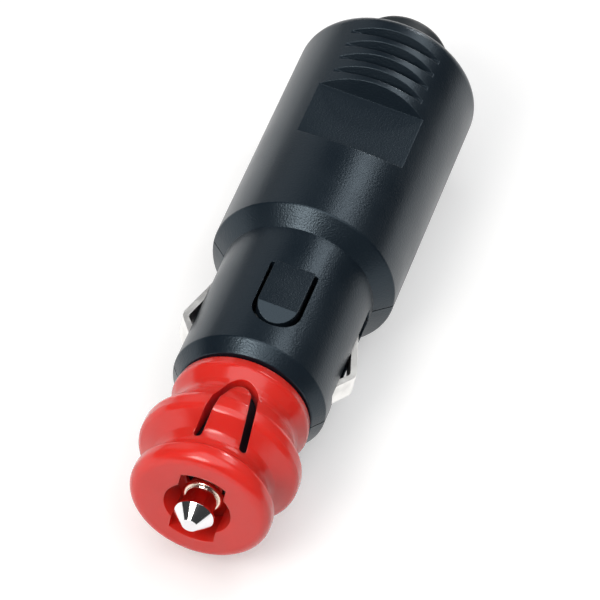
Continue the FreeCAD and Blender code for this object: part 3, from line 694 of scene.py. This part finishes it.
@dataclass
class Housing:
    """The two half shells and the screws that join them from below.

    A share is a part of the head's radius or height, of the shank's radius or of the recess's reach.
    """

    wardrobe: Wardrobe
    screw_x: float = 7.2 * MM
    screw_y: float = 10.0 * MM
    seat_z: float = -6.43 * MM
    head_radius: float = 2.1 * MM
    head_height: float = 1.4 * MM
    shank_radius: float = 1.2 * MM
    shank_length: float = 11.0 * MM
    recess_reach: float = 1.15 * MM
    recess_depth: float = 0.8 * MM
    recess_flare: float = 1.15
    recess_arm_share: float = 0.4
    crown_share: float = 0.7
    crown_round_shares: tuple[tuple[float, float], ...] = ((0.9, 0.08), (0.98, 0.22), (1.0, 0.45))
    under_edge_height_share: float = 0.05
    under_edge_radius_share: float = 0.97
    point_length_share: float = 1.5
    point_radius_share: float = 0.15
    twin_turn: float = 25.0
    facets: int = 40

    def dress(self) -> None:
        """Gives the shells their plastic."""
        self.wardrobe.dress(Slot.BLACK_PLASTIC, "housing_top", "housing_bottom")

    def outline(self) -> list[tuple[float, float]]:
        """Radius and height of the screw's rings, from the crown of its head to its point."""
        crown = self.seat_z - self.head_height
        tip = self.seat_z + self.shank_length
        dome = [
            (across * self.head_radius, crown + along * self.head_height)
            for across, along in self.crown_round_shares
        ]
        return dome + [
            (self.head_radius, self.seat_z - self.under_edge_height_share * self.head_height),
            (self.under_edge_radius_share * self.head_radius, self.seat_z),
            (self.shank_radius, self.seat_z),
            (self.shank_radius, tip - self.point_length_share * self.shank_radius),
            (self.point_radius_share * self.shank_radius, tip),
        ]

    def add_recess(self, shape: bmesh.types.BMesh, crown: float) -> list[bmesh.types.BMEdge]:
        """Adds the cross recess that a driver fits.

        Args:
            shape: Screw in the making.
            crown: Height of the head's crown.

        Returns:
            Edges of the recess's rim.
        """
        before = set(shape.faces)
        bmesh.ops.create_grid(
            shape, x_segments=3, y_segments=3, size=self.recess_reach,
            matrix=Matrix.Translation((0, 0, crown + self.recess_depth)),
        )
        cells = [face for face in shape.faces if face not in before]
        limit = self.recess_arm_share * self.recess_reach
        corners = []
        for face in cells:
            centre = face.calc_center_median()
            if abs(centre.x) > limit and abs(centre.y) > limit:
                corners.append(face)
        bmesh.ops.delete(shape, geom=corners, context="FACES")
        floor = [edge for edge in shape.edges if edge.is_boundary and edge.link_faces]
        wall = bmesh.ops.extrude_edge_only(shape, edges=floor)["geom"]
        rim = [item for item in wall if isinstance(item, bmesh.types.BMVert)]
        bmesh.ops.scale(shape, vec=(self.recess_flare, self.recess_flare, 1.0), verts=rim)
        bmesh.ops.translate(shape, vec=(0, 0, -self.recess_depth), verts=rim)
        return [edge for edge in wall if isinstance(edge, bmesh.types.BMEdge) and edge.is_boundary]

    def build_screws(self) -> None:
        """Makes both housing screws as one piece with cross recesses."""
        shape = bmesh.new()
        crown = self.seat_z - self.head_height
        rim = self.add_recess(shape, crown)
        radius, height = self.crown_share * self.head_radius, crown
        ring = bmesh.ops.create_circle(
            shape, segments=self.facets, radius=radius, matrix=Matrix.Translation((0, 0, height))
        )["verts"]
        edges = list({edge for vert in ring for edge in vert.link_edges})
        bmesh.ops.bridge_loops(shape, edges=rim + edges)
        for next_radius, next_height in self.outline():
            grown = bmesh.ops.extrude_edge_only(shape, edges=edges)["geom"]
            verts = [item for item in grown if isinstance(item, bmesh.types.BMVert)]
            edges = [
                item for item in grown if isinstance(item, bmesh.types.BMEdge) and item.is_boundary
            ]
            factor = next_radius / radius
            bmesh.ops.scale(shape, vec=(factor, factor, 1.0), verts=verts)
            bmesh.ops.translate(shape, vec=(0, 0, next_height - height), verts=verts)
            radius, height = next_radius, next_height
        bmesh.ops.contextual_create(shape, geom=edges)
        whole = shape.verts[:] + shape.edges[:] + shape.faces[:]
        twin = bmesh.ops.duplicate(shape, geom=whole)["geom"]
        copied = [item for item in twin if isinstance(item, bmesh.types.BMVert)]
        original = [vert for vert in shape.verts if vert not in set(copied)]
        turned = Matrix.Rotation(math.radians(self.twin_turn), 3, "Z")
        bmesh.ops.rotate(shape, matrix=turned, verts=copied)
        bmesh.ops.translate(shape, vec=(self.screw_x, self.screw_y, 0), verts=original)
        bmesh.ops.translate(shape, vec=(-self.screw_x, self.screw_y, 0), verts=copied)
        screws = piece_from(shape, "cross_recess_screws")
        self.wardrobe.finish_piece(screws, Slot.STEEL, Body.HOUSING, "housing_screws")


@dataclass
class AdapterSleeve:
    """The red sleeve that slides over the nose, with the thin ring that stops it there."""

    wardrobe: Wardrobe
    front_wall: float = 5.3 * MM
    ring_bore: float = 2.95 * MM
    ring_radius: float = 5.95 * MM
    ring_length: float = 0.8 * MM
    ring_inset: float = 0.05 * MM
    ring_edge: float = 0.12 * MM
    ring_edge_segments: int = 4
    facets: int = 72

    def dress(self) -> None:
        """Gives the sleeve its glossy red plastic."""
        self.wardrobe.dress(Slot.RED_PLASTIC, "adapter_sleeve")

    def build_stop_ring(self) -> None:
        """Turns the ring that closes the key slots from behind, round the collar of the tip."""
        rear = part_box("adapter_sleeve")[0].y + self.front_wall - self.ring_inset
        middle = Vector(((self.ring_bore + self.ring_radius) / 2, rear - self.ring_length / 2, 0.0))
        breadth = Matrix.Diagonal((self.ring_radius - self.ring_bore, self.ring_length, 1.0, 1.0))
        shape = bmesh.new()
        bmesh.ops.create_grid(
            shape, x_segments=1, y_segments=1, size=0.5, matrix=Matrix.Translation(middle) @ breadth
        )
        bmesh.ops.delete(shape, geom=shape.faces[:], context="FACES_ONLY")
        bmesh.ops.bevel(
            shape, geom=[vert for vert in shape.verts if vert.co.x < middle.x],
            offset=self.ring_edge, segments=self.ring_edge_segments, affect="VERTICES",
            profile=0.5, material=-1,
        )
        bmesh.ops.spin(
            shape, geom=shape.verts[:] + shape.edges[:], cent=(0, 0, 0), axis=(0, 1, 0),
            angle=2 * math.pi, steps=self.facets, use_merge=True, use_duplicate=False,
        )
        ring = piece_from(shape, "sleeve_stop_ring")
        self.wardrobe.finish_piece(ring, Slot.RED_PLASTIC, Body.ADAPTER)


@dataclass
class SpringContact:
    """The tip, its collar, the fuse behind it and the coil spring that pushes them out."""

    wardrobe: Wardrobe
    turns: int = 6
    wire_radius: float = 0.25 * MM
    coil_radius: float = 2.15 * MM
    travel: float = 3.0 * MM
    steps_per_turn: int = 36
    wire_facets: int = 12
    wire_smooth_angle: float = 60.0

    def dress(self) -> None:
        """Gives the pieces of the plunger their metals and glass."""
        self.wardrobe.dress(Slot.CHROME, "contact_tip")
        self.wardrobe.dress(Slot.BRASS, "tip_collar")
        self.wardrobe.dress(Slot.NICKEL, "fuse_front_cap", "fuse_rear_cap")
        self.wardrobe.dress(Slot.GLASS, "fuse_glass")
        self.wardrobe.dress(Slot.STEEL, "fuse_wire")

    def build_spring(self) -> None:
        """Winds the coil spring to the length of the CAD spring that it stands for."""
        low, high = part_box("contact_spring")
        length = high.y - low.y
        rise = length - 2 * self.wire_radius
        steps = self.turns * self.steps_per_turn
        shape = bmesh.new()
        start = Matrix.Translation((self.coil_radius, low.y + self.wire_radius, 0))
        section = bmesh.ops.create_circle(
            shape, segments=self.wire_facets, radius=self.wire_radius, cap_ends=True, matrix=start
        )["verts"]
        wire = list({edge for vert in section for edge in vert.link_edges})
        bmesh.ops.spin(
            shape, geom=section + wire, cent=(0, 0, 0), axis=(0, 1, 0), dvec=(0, rise / steps, 0),
            angle=self.turns * 2 * math.pi, steps=steps, use_duplicate=False,
        )
        bmesh.ops.holes_fill(shape, edges=[edge for edge in shape.edges if edge.is_boundary], sides=0)
        spring = piece_from(shape, "coil_spring", smooth_angle=self.wire_smooth_angle)
        self.wardrobe.finish_piece(spring, Slot.STEEL, Body.HOUSING, "contact_spring")
        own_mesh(spring)


@dataclass
class SideContacts:
    """The two sprung strips at the barrel's sides and the bridge that carries them."""

    wardrobe: Wardrobe

    def dress(self) -> None:
        """Gives the strips their nickel and the bridge its brass."""
        self.wardrobe.dress(Slot.NICKEL, "left_side_contact", "right_side_contact")
        self.wardrobe.dress(Slot.BRASS, "negative_bridge")


@dataclass
class CableEntry:
    """The terminals, the clamp and the boot where a cable enters."""

    wardrobe: Wardrobe

    def dress(self) -> None:
        """Gives terminals, screws, clamp and boot their finishes."""
        self.wardrobe.dress(Slot.BRASS, "positive_terminal")
        self.wardrobe.dress(
            Slot.STEEL, "positive_terminal_screw", "negative_terminal_screw", "cable_clamp_screws"
        )
        self.wardrobe.dress(Slot.BLACK_PLASTIC, "cable_clamp")
        self.wardrobe.dress(Slot.RUBBER, "cable_boot")


@dataclass(frozen=True)
class Softbox:
    """One square lamp that faces the plug."""

    name: str
    direction: Vector
    distance: float
    size: float
    power: float
    colour: Colour = (1.0, 1.0, 1.0)

    def place(self, target: Vector) -> None:
        """Adds the lamp.

        Args:
            target: Point that the lamp faces.
        """
        lamp = bpy.data.lights.new(self.name, "AREA")
        lamp.shape = "SQUARE"
        lamp.size = self.size
        lamp.energy = self.power
        lamp.color = self.colour
        holder = bpy.data.objects.new(self.name, lamp)
        away = self.direction.normalized()
        holder.location = target + away * self.distance
        holder.rotation_mode = "QUATERNION"
        holder.rotation_quaternion = (-away).to_track_quat("-Z", "Y")
        bpy.context.scene.collection.objects.link(holder)


@dataclass
class Studio:
    """Pale floor, soft lamps, sky and the camera, whose angles are in degrees."""

    floor_level: float
    target: Vector = field(default_factory=lambda: Vector((0.0, 0.005, 0.0)))
    floor_half_size: float = 3.0
    floor_colour: Colour = (0.72, 0.72, 0.72)
    floor_roughness: float = 0.9
    floor_lift: float = 0.39
    sky_colour: Colour = (0.95, 0.98, 1.0)
    sky_strength: float = 0.05
    camera_location: Vector = field(
        default_factory=lambda: Vector((54.727, -349.575, 393.721)) * MM
    )
    camera_azimuth: float = 8.843
    camera_elevation: float = 48.437
    camera_roll: float = 12.470
    swing: float = -1.3
    lens: float = 240.0
    sensor: float = 36.0
    clip_start: float = 0.01
    clip_end: float = 20.0

    def lamps(self) -> list[Softbox]:
        """The softboxes: one in front, three behind for sheen and rim, and a large one overhead."""
        return [
            Softbox("front_softbox", Vector((-0.30, -0.68, 0.67)), 0.6, 0.22, 1.75, (1.0, 0.96, 0.92)),
            Softbox("rear_softbox", Vector((0.27, 0.655, 0.705)), 0.6, 0.2, 0.52),
            Softbox("left_softbox", Vector((-0.62, 0.655, 0.40)), 0.7, 0.4, 0.24),
            Softbox("rim_softbox", Vector((0.12, 0.94, 0.32)), 0.6, 0.06, 0.45),
            Softbox("top_softbox", Vector((-0.06, -0.15, 0.98)), 0.8, 0.85, 4.6),
        ]

    def build_floor(self) -> None:
        """Lays the pale floor, which keeps the plug's shadow."""
        shape = bmesh.new()
        bmesh.ops.create_grid(
            shape, x_segments=1, y_segments=1, size=self.floor_half_size,
            matrix=Matrix.Translation((0, 0, self.floor_level)),
        )
        floor = piece_from(shape, "pale_floor")
        material, graph, surface = new_material("pale_floor")
        surface.inputs["Base Color"].default_value = (*self.floor_colour, 1.0)
        surface.inputs["Roughness"].default_value = self.floor_roughness
        surface.inputs["Emission Color"].default_value = (1.0, 1.0, 1.0, 1.0)
        rays = graph.add("ShaderNodeLightPath")
        seen = rays.outputs["Is Camera Ray"]
        for other in ("Is Glossy Ray", "Is Transmission Ray"):
            seen = graph.math("ADD", seen, rays.outputs[other], clamp=True)
        lift = graph.math("MULTIPLY", seen, self.floor_lift)
        graph.link(lift, surface.inputs["Emission Strength"])
        floor.data.materials.append(material)
        floor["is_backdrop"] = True

    def build_sky(self) -> None:
        """Sets the even light that comes from all around."""
        world = bpy.data.worlds.new("studio_sky")
        world.use_nodes = True
        graph = ShaderGraph(world.node_tree)
        output = graph.add("ShaderNodeOutputWorld")
        sky = graph.add(
            "ShaderNodeBackground", {"Color": (*self.sky_colour, 1.0), "Strength": self.sky_strength}
        )
        graph.link(sky.outputs["Background"], output.inputs["Surface"])
        bpy.context.scene.world = world

    def build_camera(self) -> None:
        """Stands the camera above the plug's front end, a little to the right."""
        azimuth, elevation = math.radians(self.camera_azimuth), math.radians(self.camera_elevation)
        roll = math.radians(self.camera_roll)
        reach = math.cos(elevation)
        back = Vector((math.sin(azimuth) * reach, -math.cos(azimuth) * reach, math.sin(elevation)))
        level = Vector((math.cos(azimuth), math.sin(azimuth), 0.0))
        upright = back.cross(level)
        right = math.cos(roll) * level + math.sin(roll) * upright
        up = math.cos(roll) * upright - math.sin(roll) * level
        stand = Matrix((right, up, back)).transposed().to_4x4()
        stand.translation = self.camera_location
        data = bpy.data.cameras.new("studio_camera")
        data.lens = self.lens
        data.sensor_width = self.sensor
        data.clip_start, data.clip_end = self.clip_start, self.clip_end
        camera = bpy.data.objects.new("studio_camera", data)
        camera.matrix_world = Matrix.Rotation(math.radians(self.swing), 4, "Y") @ stand
        bpy.context.scene.collection.objects.link(camera)
        bpy.context.scene.camera = camera

    def build(self) -> None:
        """Sets up floor, lamps, sky and camera."""
        self.build_floor()
        for lamp in self.lamps():
            lamp.place(self.target)
        self.build_sky()
        self.build_camera()
        bpy.context.scene.view_settings.view_transform = "Standard"


def main() -> None:
    """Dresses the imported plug, adds its detailed pieces and sets up the studio."""
    logging.basicConfig(level=logging.INFO, format="%(message)s")
    for leftover in list(bpy.data.objects):
        bpy.data.objects.remove(leftover)
    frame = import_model()
    cad_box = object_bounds()
    wardrobe = Wardrobe(frame["nodes"])
    housing = Housing(wardrobe)
    housing.dress()
    housing.build_screws()
    sleeve = AdapterSleeve(wardrobe)
    sleeve.dress()
    sleeve.build_stop_ring()
    contact = SpringContact(wardrobe)
    contact.dress()
    contact.build_spring()
    SideContacts(wardrobe).dress()
    CableEntry(wardrobe).dress()
    Studio(floor_level=cad_box[0].z).build()


if __name__ == "__main__":
    main()
